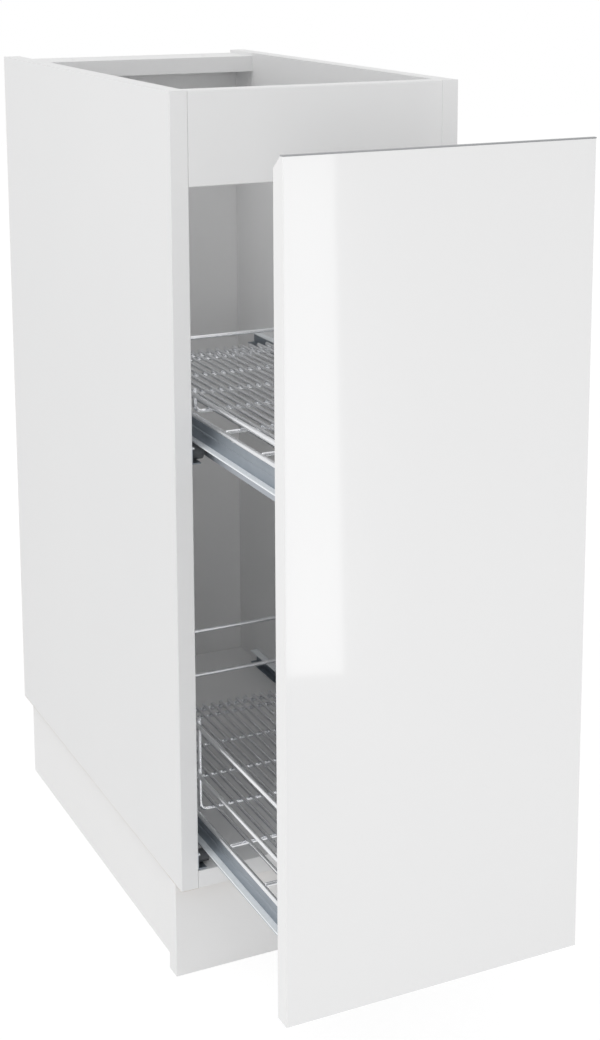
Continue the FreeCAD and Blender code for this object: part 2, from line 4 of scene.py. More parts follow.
import bmesh
import bpy
import numpy as np
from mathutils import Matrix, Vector


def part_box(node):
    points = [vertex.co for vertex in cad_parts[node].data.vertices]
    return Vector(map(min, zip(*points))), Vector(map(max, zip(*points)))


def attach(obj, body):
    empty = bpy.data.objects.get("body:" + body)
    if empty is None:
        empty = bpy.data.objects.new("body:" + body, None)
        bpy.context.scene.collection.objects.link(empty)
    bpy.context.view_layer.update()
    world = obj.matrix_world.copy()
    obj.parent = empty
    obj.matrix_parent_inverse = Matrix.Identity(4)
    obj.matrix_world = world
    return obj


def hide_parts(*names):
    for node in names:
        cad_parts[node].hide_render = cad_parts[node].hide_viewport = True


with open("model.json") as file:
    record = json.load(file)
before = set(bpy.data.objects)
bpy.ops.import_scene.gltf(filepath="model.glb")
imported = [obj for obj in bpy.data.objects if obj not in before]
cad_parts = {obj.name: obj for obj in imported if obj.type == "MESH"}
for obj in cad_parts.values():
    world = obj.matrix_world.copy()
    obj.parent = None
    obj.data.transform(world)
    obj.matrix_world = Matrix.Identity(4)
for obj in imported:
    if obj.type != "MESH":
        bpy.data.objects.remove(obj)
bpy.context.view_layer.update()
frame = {"nodes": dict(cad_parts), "record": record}
nodes = frame["nodes"]
levels = ("lower", "upper")
sides = {"left": -1, "right": 1}     # the sign of X on each side
up, along, right = (0, 0, 1), (0, 1, 0), (1, 0, 0)


def boxOf(name):
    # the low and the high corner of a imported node, in metres
    low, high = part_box(name)
    return np.array(low), np.array(high)


def middleOf(name):
    low, high = boxOf(name)
    return (low + high) / 2


# Meshes from grids of points

meshing = {
    "merge": 1e-6,           # points nearer to each other than this become one
    "dissolve": 1e-7,        # edges shorter than this go
    "sharpAngle": 40,        # an edge that turns by more degrees than this stays sharp
}


def gridFaces(rows, columns):
    # each cell of a rows by columns grid of points becomes one four-sided face
    first = (np.arange(rows - 1)[:, None] * columns + np.arange(columns - 1)[None, :]).ravel()
    return np.stack([first, first + 1, first + columns + 1, first + columns], axis=1)


def addObject(name, data):
    made = bpy.data.objects.new(name, data)
    bpy.context.scene.collection.objects.link(made)
    return made


def pieceFromGrids(name, grids, body, slot, stands=(), sharpAngle=meshing["sharpAngle"]):
    # joins grids of shape (rows, columns, 3) into one mesh, with seams and poles merged; stands
    # names the nodes that the piece stands for
    points, faces, start = [], [], 0
    for grid in grids:
        rows, columns = grid.shape[:2]
        points.append(grid.reshape(-1, 3))
        faces.append(gridFaces(rows, columns) + start)
        start += rows * columns
    points, faces = np.concatenate(points), np.concatenate(faces)
    mesh = bpy.data.meshes.new(name)
    mesh.vertices.add(len(points))
    mesh.vertices.foreach_set("co", points.astype(np.float32).ravel())
    mesh.loops.add(faces.size)
    mesh.loops.foreach_set("vertex_index", faces.astype(np.int32).ravel())
    mesh.polygons.add(len(faces))
    mesh.polygons.foreach_set("loop_start", np.arange(0, faces.size, 4, dtype=np.int32))
    mesh.update(calc_edges=True)
    work = bmesh.new()
    work.from_mesh(mesh)
    bmesh.ops.remove_doubles(work, verts=work.verts, dist=meshing["merge"])
    bmesh.ops.dissolve_degenerate(work, edges=work.edges, dist=meshing["dissolve"])
    bmesh.ops.recalc_face_normals(work, faces=work.faces)
    work.to_mesh(mesh)
    work.free()
    mesh.shade_smooth()
    mesh.set_sharp_from_angle(angle=math.radians(sharpAngle))
    mesh.materials.append(finishes[slot])
    piece = addObject(name, mesh)
    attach(piece, body)
    if stands:
        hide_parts(*stands)


# Paths, tubes and turned shapes

def unit(vectors):
    # each vector divided by its own length
    return vectors / np.linalg.norm(vectors, axis=-1, keepdims=True)


def roundedPath(corners, bend, steps, closed):
    # runs joined by arcs: centre + bend * (cos a * u + sin a * w), a from 0 to the turn at the corner
    corners = np.asarray(corners, float)
    toBefore = unit(np.roll(corners, 1, axis=0) - corners)
    toAfter = unit(np.roll(corners, -1, axis=0) - corners)
    inner = corners
    if not closed:
        toBefore, toAfter, inner = toBefore[1:-1], toAfter[1:-1], corners[1:-1]
    half = np.arccos(np.clip((toBefore * toAfter).sum(1), -1, 1)) / 2
    start = inner + toBefore * (bend / np.tan(half))[:, None]
    centre = inner + unit(toBefore + toAfter) * (bend / np.sin(half))[:, None]
    u, w = (start - centre) / bend, -toBefore
    angle = np.linspace(0, 1, steps + 1)[None, :, None] * (np.pi - 2 * half)[:, None, None]
    arcs = centre[:, None] + bend * (np.cos(angle) * u[:, None] + np.sin(angle) * w[:, None])
    turns = -np.sin(angle) * u[:, None] + np.cos(angle) * w[:, None]
    points, tangents = arcs.reshape(-1, 3), turns.reshape(-1, 3)
    if closed:
        return np.vstack([points, points[:1]]), np.vstack([tangents, tangents[:1]])
    points = np.vstack([corners[:1], points, corners[-1:]])
    tangents = np.vstack([tangents[:1], tangents, tangents[-1:]])
    return points, tangents


def tubeGrid(points, tangents, radii, normal, count):
    # ring k: point k + radius k * (cos t * (normal x tangent) + sin t * normal)
    normal = np.asarray(normal, float)
    across = np.cross(normal, tangents)
    turn = np.linspace(0, 2 * np.pi, count + 1)[None, :, None]
    ring = np.cos(turn) * across[:, None, :] + np.sin(turn) * normal
    return points[:, None, :] + radii[:, None, None] * ring


def ringAbout(axis, across, count):
    # directions round the axis: cos t * across + sin t * (axis x across), t through one turn
    turn = np.linspace(0, 2 * np.pi, count + 1)[:, None]
    return np.cos(turn) * np.asarray(across, float) + np.sin(turn) * np.cross(axis, across)


def latheGrid(profile, origin, axis, across, count):
    # each (along, radius) of the profile: origin + along * axis + radius * ring
    profile, axis = np.asarray(profile, float), np.asarray(axis, float)
    ring = ringAbout(axis, across, count)
    return np.asarray(origin) + profile[:, :1, None] * axis + profile[:, 1:, None] * ring


def roundedCorner(centre, radius, startAngle, endAngle, steps=5):
    # points of an arc in a profile: centre + radius * (cos a, sin a)
    angle = np.radians(np.linspace(startAngle, endAngle, steps + 1))
    return np.stack([centre[0] + radius * np.cos(angle), centre[1] + radius * np.sin(angle)], axis=1)


# Shader maths

class Shade:
    # one output socket, with arithmetic that adds Math nodes
    def __init__(self, tree, socket):
        self.tree = tree
        self.socket = socket

    def combine(self, operation, *values):
        node = self.tree.nodes.new("ShaderNodeMath")
        node.operation = operation
        for place, value in zip(node.inputs, values):
            feed(self.tree, place, value)
        return Shade(self.tree, node.outputs[0])

    def __add__(self, other):
        return self.combine("ADD", self, other)

    def __radd__(self, other):
        return self.combine("ADD", other, self)

    def __sub__(self, other):
        return self.combine("SUBTRACT", self, other)

    def __rsub__(self, other):
        return self.combine("SUBTRACT", other, self)

    def __mul__(self, other):
        return self.combine("MULTIPLY", self, other)

    def __rmul__(self, other):
        return self.combine("MULTIPLY", other, self)

    def __abs__(self):
        return self.combine("ABSOLUTE", self)

    def __lt__(self, other):
        return self.combine("LESS_THAN", self, other)

    def __gt__(self, other):
        return self.combine("GREATER_THAN", self, other)

    def greatest(self, other):
        return self.combine("MAXIMUM", self, other)

    def sine(self):
        return self.combine("SINE", self)


def feed(tree, place, value):
    if isinstance(value, Shade):
        tree.links.new(value.socket, place)
    elif place.type == "RGBA":
        place.default_value = (*value, 1)
    else:
        place.default_value = value


def weighted(amounts, patterns):
    # the sum of each amount times its pattern, where a pattern of 1 gives a plain value
    return sum(amount * pattern for amount, pattern in zip(amounts, patterns))


class Finish:
    # a material's tree, with one method for every kind of node
    def __init__(self, tree):
        self.tree = tree
        tree.nodes.clear()

    def node(self, kind, settings=None, inputs=None, output=0):
        made = self.tree.nodes.new(kind)
        for name, value in (settings or {}).items():
            setattr(made, name, value)
        for place, value in (inputs or {}).items():
            feed(self.tree, made.inputs[place], value)
        return Shade(self.tree, made.outputs[output]) if made.outputs else None

    def several(self, kind, outputs, inputs=None):
        # the named outputs of one node
        made = self.node(kind, inputs=inputs).socket.node
        return [Shade(self.tree, made.outputs[name]) for name in outputs]

    def coordinates(self):
        return self.node("ShaderNodeTexCoord", output="Object")

    def axes(self):
        return self.several("ShaderNodeSeparateXYZ", "XYZ", {0: self.coordinates()})

    def stretched(self, scale):
        return self.node("ShaderNodeMapping", inputs={"Vector": self.coordinates(), "Scale": scale})

    def noise(self, vector, scale, detail=2.0, roughness=0.5):
        inputs = {"Vector": vector, "Scale": scale, "Detail": detail, "Roughness": roughness}
        return self.node("ShaderNodeTexNoise", inputs=inputs)

    def blend(self, first, second, factor):
        inputs = {0: factor, 6: first, 7: second}
        return self.node("ShaderNodeMix", {"data_type": "RGBA"}, inputs, output=2)

    def bump(self, height, strength, distance):
        inputs = {"Height": height, "Strength": strength, "Distance": distance}
        return self.node("ShaderNodeBump", inputs=inputs)


def newMaterial(name, build, **inputs):
    # a Principled surface; build(finish) returns the inputs that vary, the rest are plain values
    material = bpy.data.materials.new(name)
    material.use_nodes = True
    finish = Finish(material.node_tree)
    varied = build(finish)
    surface = finish.node("ShaderNodeBsdfPrincipled", inputs={**inputs, **varied})
    finish.node("ShaderNodeOutputMaterial", inputs={"Surface": surface})
    return material


# Materials

# a noise is (scale, detail, roughness), a bump is (strength, distance in metres), and a roughness
# is its plain value and what each pattern adds to it
melamine = {
    "white": (0.845, 0.845, 0.845),
    "cloudWhite": (0.825, 0.827, 0.83),
    # painted light: the plinth's white is lighter than the carcass's, to make up for the front's shade on
    # it
    "plinthPaintedLight": (0.88, 0.88, 0.88),
    "seamShade": (0.55, 0.55, 0.55),
    "chipLight": (0.52, 0.39, 0.245),
    "chipDark": (0.30, 0.205, 0.115),
    "cloud": (3.5, 3.0),
    "pearl": (1400.0, 2.0, 0.6),
    "flakes": (520.0, 5.0, 0.75),
    "flakeStretch": (1.0, 0.6, 1.0),
    "bandWidth": 0.0008,
    "seamWidth": 0.00014,
    "edgeDepth": 0.0002,
    "relief": (1, 6.0),                       # pearl, flakes
    "roughness": (0.36, 0.14, 0.06, 0.3),     # pearl, cloud, bare board
    "bump": (0.25, 0.00002),
}


def melamineBuild(finish):
    # fine pearl of the pressed paper, a faint cloud in the white, painted light on the plinth (a lighter
    # white standing in for light that the pulled-out front's shade takes off it), the seam of the front
    # edge band, and bare chipboard on the carcass's rear and lower edges
    place = finish.coordinates()
    cloud = finish.noise(place, *melamine["cloud"])
    pearl = finish.noise(place, *melamine["pearl"])
    flakes = finish.noise(finish.stretched(melamine["flakeStretch"]), *melamine["flakes"])
    x, y, z = finish.axes()
    low, high = boxOf("side_panel_left")
    seam = abs(y - (low[1] + melamine["bandWidth"])) < melamine["seamWidth"] / 2
    rear = (y > high[1] - melamine["edgeDepth"]) * (z > low[2])
    under = abs(z - low[2]) < melamine["edgeDepth"]
    bare = rear.greatest(under)
    plinth = z < low[2] - melamine["edgeDepth"]
    white = finish.blend(melamine["white"], melamine["cloudWhite"], cloud)
    # painted light: the lighter white goes on the plinth
    whitesWithPaintedLight = finish.blend(white, melamine["plinthPaintedLight"], plinth)
    banded = finish.blend(whitesWithPaintedLight, melamine["seamShade"], seam)
    chips = finish.blend(melamine["chipLight"], melamine["chipDark"], flakes)
    return {
        "Base Color": finish.blend(banded, chips, bare),
        "Roughness": weighted(melamine["roughness"], (1, pearl, cloud, bare)),
        "Normal": finish.bump(weighted(melamine["relief"], (pearl, bare * flakes)), *melamine["bump"]),
    }


lacquer = {
    "colour": (0.85, 0.85, 0.85),
    "swellColour": (0.84, 0.84, 0.843),
    "swell": (9.0, 2.0),
    "peel": (260.0, 1.0),
    "roughness": (0.2, 0.05),
    "bump": (0.06, 0.00003),
    "coat": {"Coat Weight": 1.0, "Coat Roughness": 0.05},
}


def lacquerBuild(finish):
    # poured gloss lacquer: a slow swell and a hardly visible orange peel
    place = finish.coordinates()
    swell = finish.noise(place, *lacquer["swell"])
    peel = finish.noise(place, *lacquer["peel"])
    return {
        "Base Color": finish.blend(lacquer["colour"], lacquer["swellColour"], swell),
        "Roughness": weighted(lacquer["roughness"], (1, swell)),
        "Normal": finish.bump(peel, *lacquer["bump"]),
    }


hardboard = {
    "film": (0.84, 0.84, 0.84),
    "raw": (0.30, 0.185, 0.105),
    "fibreColour": (0.21, 0.125, 0.068),
    "filmDepth": 0.3,                   # share of the thickness that is white on the edges
    "fibre": (420.0, 4.0, 0.7),
    "fibreStretch": (1.0, 1.0, 0.45),
    "meshPitch": 0.0022,
    "relief": (0.6, 0.4),               # fibre, press mesh
    "roughness": (0.42, 0.4, 0.08),     # raw side, fibre
    "bump": (0.6, 0.0002),
}


def hardboardBuild(finish):
    # white film on the inner face, raw brown fibre on the rear face and edges, with a press mesh
    # of sin x * sin z
    x, y, z = finish.axes()
    low, high = boxOf("back_panel")
    raw = y > low[1] + hardboard["filmDepth"] * (high[1] - low[1])
    fibre = finish.noise(finish.stretched(hardboard["fibreStretch"]), *hardboard["fibre"])
    turns = 2 * math.pi / hardboard["meshPitch"]
    mesh = (x * turns).sine() * (z * turns).sine()
    brown = finish.blend(hardboard["raw"], hardboard["fibreColour"], fibre)
    relief = raw * weighted(hardboard["relief"], (fibre, abs(mesh)))
    return {
        "Base Color": finish.blend(hardboard["film"], brown, raw),
        "Roughness": weighted(hardboard["roughness"], (1, raw, fibre)),
        "Normal": finish.bump(relief, *hardboard["bump"]),
    }


timber = {
    "light": (0.62, 0.44, 0.26),
    "dark": (0.47, 0.30, 0.155),
    "rings": {"Scale": 260.0, "Distortion": 5.0, "Detail": 3.0},
    "ringStretch": (0.2, 1.0, 1.0),
    "pores": (2600.0, 2.0),
    "poreStretch": (0.05, 1.0, 1.0),
    "darkening": (0.6, 0.3),            # rings, pores
    "roughness": (0.6, 0.15),
    "bump": (0.3, 0.00006),
}


def timberBuild(finish):
    # straight grain along X, with rings across it
    rings = finish.node(
        "ShaderNodeTexWave",
        {"wave_type": "RINGS", "rings_direction": "X"},
        {"Vector": finish.stretched(timber["ringStretch"]), **timber["rings"]},
    )
    pores = finish.noise(finish.stretched(timber["poreStretch"]), *timber["pores"])
    dark = weighted(timber["darkening"], (rings, pores))
    return {
        "Base Color": finish.blend(timber["light"], timber["dark"], dark),
        "Roughness": weighted(timber["roughness"], (1, pores)),
        "Normal": finish.bump(pores, *timber["bump"]),
    }


zinc = {
    "colour": (0.36, 0.395, 0.435),
    "cloudColour": (0.31, 0.345, 0.385),
    # painted light: a highlight on the lips' tops, and a brighter skirt under each lip
    "lipHighlight": (0.93, 0.965, 0.99),
    "skirt": (0.47, 0.50, 0.54),
    "cloud": (55.0, 4.0, 0.6),
    "streak": (1500.0, 3.0, 0.6),
    "streakStretch": (1.0, 0.02, 1.0),
    "grit": (3000.0, 2.0),
    "clouding": (0.7, 0.3),             # cloud, streak
    "relief": (0.6, 0.4),               # streak, grit
    "roughness": (0.38, 0.12, 0.08),    # cloud, streak
    "bump": (0.2, 0.00002),
    "highlightHidesMetal": 0.9,                   # of the metal
    "lipAbove": 0.0135,                 # the lip's underside over the basket rail's lowest point
    "lipThick": 0.0015,
    "webThick": 0.0015,
    "slack": 0.0001,
}


def zincBuild(finish):
    # bluish plated sheet: rolled streaks along the rail, soft clouds, fine pickling, painted light as a
    # brighter skirt under each lip, and a painted highlight as a pale, hardly metallic colour on the lips
    place = finish.coordinates()
    streak = finish.noise(finish.stretched(zinc["streakStretch"]), *zinc["streak"])
    cloud = finish.noise(place, *zinc["cloud"])
    grit = finish.noise(place, *zinc["grit"])
    x, y, z = finish.axes()
    webX = boxOf("lower_basket_rail_right")[0][0]
    outOfWeb = abs(x) > webX + zinc["webThick"] + zinc["slack"]
    inWeb = (abs(x) > webX - zinc["slack"]) * (1 - outOfWeb)
    lips, skirts = [], []
    for level in levels:
        foot = boxOf(level + "_basket_rail_right")[0][2]
        middle = foot + zinc["lipAbove"] + zinc["lipThick"] / 2
        lips.append(abs(z - middle) < zinc["lipThick"] / 2 + zinc["slack"])
        skirts.append(abs(z - (foot + zinc["lipAbove"] / 2)) < zinc["lipAbove"] / 2)
    # painted highlight: the lips' tops get a pale colour and lose most of their metal
    coat = outOfWeb * sum(lips)
    clouded = weighted(zinc["clouding"], (cloud, streak))
    plated = finish.blend(zinc["colour"], zinc["cloudColour"], clouded)
    # painted light: a brighter colour on the web's skirt under each lip
    sheet = finish.blend(plated, zinc["skirt"], inWeb * sum(skirts))
    return {
        "Base Color": finish.blend(sheet, zinc["lipHighlight"], coat),
        "Metallic": 1 - zinc["highlightHidesMetal"] * coat,
        "Roughness": weighted(zinc["roughness"], (1, cloud, streak)),
        "Normal": finish.bump(weighted(zinc["relief"], (streak, grit)), *zinc["bump"]),
    }


chrome = {
    "colour": (0.84, 0.85, 0.865),
    "hazeColour": (0.78, 0.79, 0.81),
    "haze": (90.0, 3.0),
    "grain": (2400.0, 1.0),
    "roughness": (0.16, 0.08),
    "bump": (0.05, 0.00001),
}


def chromeBuild(finish):
    # bright plating with a little drawing grain and haze
    place = finish.coordinates()
    haze = finish.noise(place, *chrome["haze"])
    grain = finish.noise(place, *chrome["grain"])
    return {
        "Base Color": finish.blend(chrome["colour"], chrome["hazeColour"], haze),
        "Roughness": weighted(chrome["roughness"], (1, haze)),
        "Normal": finish.bump(grain, *chrome["bump"]),
    }


fastener = {
    "colour": (0.70, 0.71, 0.72),
    "dull": (0.55, 0.565, 0.58),
    "patch": (420.0, 3.0),
    "roughness": (0.2, 0.16),
    "bump": (0.08, 0.00002),
}


def fastenerBuild(finish):
    # plated steel, duller in patches
    patch = finish.noise(finish.coordinates(), *fastener["patch"])
    return {
        "Base Color": finish.blend(fastener["colour"], fastener["dull"], patch),
        "Roughness": weighted(fastener["roughness"], (1, patch)),
        "Normal": finish.bump(patch, *fastener["bump"]),
    }


nylon = {
    "colour": (0.045, 0.048, 0.052),
    "worn": (0.075, 0.08, 0.085),
    "cloud": (160.0, 2.0),
    "skin": (1800.0, 2.0),
    "roughness": (0.38, 0.14),
    "bump": (0.12, 0.00003),
}


def nylonBuild(finish):
    # dark moulded nylon with a matt skin, worn a little paler in places
    place = finish.coordinates()
    skin = finish.noise(place, *nylon["skin"])
    cloud = finish.noise(place, *nylon["cloud"])
    return {
        "Base Color": finish.blend(nylon["colour"], nylon["worn"], cloud),
        "Roughness": weighted(nylon["roughness"], (1, skin)),
        "Normal": finish.bump(skin, *nylon["bump"]),
    }


# painted shade: the aluminium strip is made dark grey for the dark line along the front's top edge
aluminiumPaintedShade = {
    "colour": (0.40, 0.41, 0.42),
    "line": (0.31, 0.315, 0.325),
    "brush": (5200.0, 2.0),
    "brushStretch": (0.01, 1.0, 1.0),
    "roughness": (0.28, 0.16),
    "bump": (0.15, 0.00001),
}


def aluminiumPaintedShadeBuild(finish):
    # aluminium brushed along its length, its dark grey painted shade for the dark line along the front's
    # top edge
    brush = finish.noise(finish.stretched(aluminiumPaintedShade["brushStretch"]), *aluminiumPaintedShade["brush"])
    return {
        "Base Color": finish.blend(aluminiumPaintedShade["colour"], aluminiumPaintedShade["line"], brush),
        "Roughness": weighted(aluminiumPaintedShade["roughness"], (1, brush)),
        "Normal": finish.bump(brush, *aluminiumPaintedShade["bump"]),
    }


softPad = {
    "colour": (0.74, 0.765, 0.78),
    "deep": (0.66, 0.69, 0.71),
    "cloud": (600.0, 2.0),
    "roughness": (0.24, 0.12),
}


def softPadBuild(finish):
    # pale soft plastic with a faint cloud in it
    cloud = finish.noise(finish.coordinates(), *softPad["cloud"])
    return {
        "Base Color": finish.blend(softPad["colour"], softPad["deep"], cloud),
        "Roughness": weighted(softPad["roughness"], (1, cloud)),
    }


finishes = {
    "carcass_melamine": newMaterial("melamine_white", melamineBuild),
    "gloss_front": newMaterial("lacquer_gloss", lacquerBuild, **lacquer["coat"]),
    "back_hardboard": newMaterial("hardboard_film", hardboardBuild),
    "plain_wood": newMaterial("timber_plain", timberBuild),
    "zinc_steel": newMaterial("zinc_blue", zincBuild),
    "chrome_wire": newMaterial("chrome_wire", chromeBuild, Metallic=1.0),
    "zinc_fastener": newMaterial("plated_bright", fastenerBuild, Metallic=1.0),
    "roller_nylon": newMaterial("nylon_dark", nylonBuild),
    "edge_aluminium": newMaterial("aluminium_painted_shade", aluminiumPaintedShadeBuild, Metallic=1.0),
    "bumper_rubber": newMaterial("soft_pad", softPadBuild),
}
finishes["plinth_melamine"] = finishes["carcass_melamine"]
for subpart in frame["record"]["subparts"]:
    mesh = nodes[subpart["node"]].data
    mesh.materials.clear()
    mesh.materials.append(finishes[subpart["material_slot"]])
print("finishes for", len(finishes), "slots")


# Wire baskets

wire = {
    "cornerRadius": 0.014,
    "ribBend": 0.008,
    "ribRadius": 0.002,
    "floorRadius": 0.002,
    "floorPitch": 0.0101,
    "middleRib": 0.266,      # from the basket rail's front end
    "crossBars": 2,          # between two ribs
    "sides": 20,
    "floorSides": 14,
    "bendSteps": 8,
    "chamfer": 0.0004,
    "beadRows": 6,
    "beadSides": 8,
    "floorWeld": (0.0013, 0.0013, 0.0006),     # half sizes along X, Y and Z
    "upWeld": (0.0006, 0.0013, 0.0016),
    "rodWeld": (0.0014, 0.0006, 0.0014),
    "railWeld": (0.0011, 0.0042, 0.0007),
    "railWeldRows": (0.10, 0.36, 0.63, 0.88),     # shares of the basket rail's length
}


def openWire(points, tangents, radius, normal, count):
    # a tube whose cut ends are flat with a small chamfer: each end has rings of radius 0,
    # radius - chamfer and radius
    chamfer = wire["chamfer"]
    ends = np.array([0, radius - chamfer, radius])
    steps = np.array([0, 0, chamfer])
    start = points[0] + steps[:, None] * tangents[0]
    end = points[-1] - steps[::-1, None] * tangents[-1]
    startTangents = np.repeat(tangents[:1], len(ends), 0)
    endTangents = np.repeat(tangents[-1:], len(ends), 0)
    allPoints = np.vstack([start, points[1:-1], end])
    allTangents = np.vstack([startTangents, tangents[1:-1], endTangents])
    radii = np.concatenate([ends, np.full(len(points) - 2, radius), ends[::-1]])
    return tubeGrid(allPoints, allTangents, radii, normal, count)


def straightWire(start, end, radius, normal, count):
    # an open wire along one run
    points = np.array([start, end], float)
    tangents = np.repeat(unit(points[1:] - points[:1]), 2, 0)
    return openWire(points, tangents, radius, normal, count)


def loopGrid(name):
    # a closed tube along a rectangle with rounded corners, which fills the node's box
    low, high = boxOf(name)
    radius = (high[2] - low[2]) / 2
    x0, y0, x1, y1 = low[0] + radius, low[1] + radius, high[0] - radius, high[1] - radius
    z = low[2] + radius
    corners = [(x0, y0, z), (x1, y0, z), (x1, y1, z), (x0, y1, z)]
    points, tangents = roundedPath(corners, wire["cornerRadius"], wire["bendSteps"], True)
    return tubeGrid(points, tangents, np.full(len(points), radius), up, wire["sides"])


def ribRows(level):
    # where the three ribs stand along Y
    low, high = boxOf(level + "_basket_ribs")
    first = low[1] + wire["ribRadius"]
    last = high[1] - wire["ribRadius"]
    middle = boxOf(level + "_basket_rail_left")[0][1] + wire["middleRib"]
    return [first, middle, last]


def ribGrids(level):
    # each rib is an open wire down one side, across under the floor and up the other side
    low, high = boxOf(level + "_basket_ribs")
    radius = wire["ribRadius"]
    x0, x1, z = low[0] + radius, high[0] - radius, low[2] + radius
    grids = []
    for y in ribRows(level):
        corners = [(x0, y, high[2]), (x0, y, z), (x1, y, z), (x1, y, high[2])]
        points, tangents = roundedPath(corners, wire["ribBend"], wire["bendSteps"], False)
        grids.append(openWire(points, tangents, radius, along, wire["sides"]))
    return grids


def floorPlan(level):
    # places of the floor wires and of the cross bars under them; past the frame's straight run a
    # wire is shorter at each end by bend - sqrt(bend^2 - past^2), as the frame's corner is round
    low, high = boxOf(level + "_basket_floor")
    frameLow, frameHigh = boxOf(level + "_basket_frame")
    frameRadius = (frameHigh[2] - frameLow[2]) / 2
    radius, bend = wire["floorRadius"], wire["cornerRadius"]
    reach = boxOf(level + "_basket_ribs")[1][0] - radius - wire["ribBend"] - radius
    count = int(2 * reach / wire["floorPitch"])
    columns = wire["floorPitch"] * (np.arange(count + 1) - count / 2)
    straight = frameHigh[0] - frameRadius - bend
    past = np.maximum(0, abs(columns) - straight)
    trim = bend - np.sqrt(bend ** 2 - past ** 2)
    ribs, bars, shares = ribRows(level), [], wire["crossBars"] + 1
    for start, end in zip(ribs[:-1], ribs[1:]):
        bars += [start + (end - start) * share / shares for share in range(1, shares)]
    return {
        "columns": columns,
        "front": low[1] + trim,
        "rear": high[1] - trim,
        "bars": bars,
        "barEnds": (low[0], high[0]),
        "wireHeight": high[2] - radius,
        "barHeight": low[2] + radius,
        "seatInset": frameRadius / 2,
    }


def floorGrids(plan):
    # straight wires along Y, and straight cross bars along X
    z, runs = plan["wireHeight"], []
    for x, front, rear in zip(plan["columns"], plan["front"], plan["rear"]):
        runs.append([(x, front, z), (x, rear, z)])
    for y in plan["bars"]:
        runs.append([(x, y, plan["barHeight"]) for x in plan["barEnds"]])
    return [straightWire(*run, wire["floorRadius"], up, wire["floorSides"]) for run in runs]


def weldBeads(size, centres):
    # ellipsoids: centre + (a cos u cos v, b cos u sin v, c sin u)
    latitude = np.linspace(-np.pi / 2, np.pi / 2, wire["beadRows"])[:, None]
    longitude = np.linspace(0, 2 * np.pi, wire["beadSides"] + 1)[None, :]
    bead = np.stack([
        size[0] * np.cos(latitude) * np.cos(longitude),
        size[1] * np.cos(latitude) * np.sin(longitude),
        size[2] * np.sin(latitude) * np.ones_like(longitude),
    ], axis=2)
    return [bead + np.array(centre) for centre in centres]


def floorWelds(plan, rows):
    # where a floor wire crosses a bar, a rib or the frame
    z, inset = (plan["wireHeight"] + plan["barHeight"]) / 2, plan["seatInset"]
    centres = [(x, y, z) for y in [*plan["bars"], *rows] for x in plan["columns"]]
    centres += [(x, y + inset, z) for x, y in zip(plan["columns"], plan["front"])]
    centres += [(x, y - inset, z) for x, y in zip(plan["columns"], plan["rear"])]
    return weldBeads(wire["floorWeld"], centres)


def sideWelds(level, plan, guards):
    # ribs to guards, cross bars to the frame, and the frame to the two basket rails
    inner = boxOf(level + "_basket_ribs")[1][0]
    crossings = [(y, middleOf(guard)[2]) for guard in guards for y in ribRows(level)]
    crossings += [(y, plan["barHeight"]) for y in plan["bars"]]
    centres = [(sign * inner, y, z) for y, z in crossings for sign in sides.values()]
    low, high = boxOf(level + "_basket_rail_right")
    frameLow, frameHigh = boxOf(level + "_basket_frame")
    frameX = frameHigh[0] - (frameHigh[2] - frameLow[2]) / 2
    rows = [low[1] + share * (high[1] - low[1]) for share in wire["railWeldRows"]]
    seats = [(sign * frameX, y, high[2]) for y in rows for sign in sides.values()]
    return weldBeads(wire["upWeld"], centres) + weldBeads(wire["railWeld"], seats)


loops = sorted(name for name in nodes if "_basket_frame" in name or "_basket_guard_" in name)
for level in levels:
    basket = level + "_basket_"
    plan = floorPlan(level)
    shapes = {name: [loopGrid(name)] for name in loops if name.startswith(basket)}
    shapes[basket + "ribs"] = ribGrids(level)
    shapes[basket + "floor"] = floorGrids(plan)
    for name, grids in shapes.items():
        pieceFromGrids(name + "_wire", grids, "pullout", "chrome_wire", [name])
    guards = [name for name in loops if name.startswith(basket + "guard_")]
    welds = floorWelds(plan, ribRows(level)) + sideWelds(level, plan, guards)
    pieceFromGrids(basket + "welds", welds, "pullout", "chrome_wire")

low, high = boxOf("basket_link_rods")
linkRadius = (high[1] - low[1]) / 2
linkX, linkY = high[0] - linkRadius, low[1] + linkRadius
grids = []
for x in (low[0] + linkRadius, linkX):
    start, end = (x, linkY, low[2]), (x, linkY, high[2])
    grids.append(straightWire(start, end, linkRadius, right, wire["sides"]))
pieceFromGrids("basket_link_wires", grids, "pullout", "chrome_wire", ["basket_link_rods"])
heights = [z for z in (middleOf(name)[2] for name in loops) if low[2] < z < high[2]]
centres = [(sign * linkX, low[1], z) for z in heights for sign in sides.values()]
pieceFromGrids("basket_link_welds", weldBeads(wire["rodWeld"], centres), "pullout", "chrome_wire")
print("wire baskets done")


# Rollers and rivets

roller = {
    "bore": 0.00255,
    "bodyWidth": 0.0112,
    "collarRadius": 0.0038,
    "recessRadius": 0.0047,
    "recessDepth": 0.0017,
    "round": 0.0007,
    "sides": 64,
}
rivet = {
    "radius": 0.0025,
    "headRadius": 0.0042,
    "headHeight": 0.0013,
    "play": 0.00005,
    "sides": 40,
}


def rollerProfile(width, radius):
    # from the collar's end, round the tread, into the recess and back along the bore
    collar = width - roller["bodyWidth"]
    edge = roller["round"]
    floorAt = width - roller["recessDepth"]
    return np.vstack([
        [(0, roller["bore"]), (0, roller["collarRadius"]), (collar, roller["collarRadius"])],
        roundedCorner((collar + edge, radius - edge), edge, 180, 90),
        roundedCorner((width - edge, radius - edge), edge, 90, 0),
        [(width, roller["recessRadius"]), (floorAt, roller["recessRadius"])],
        [(floorAt, roller["bore"]), (0, roller["bore"])],
    ])


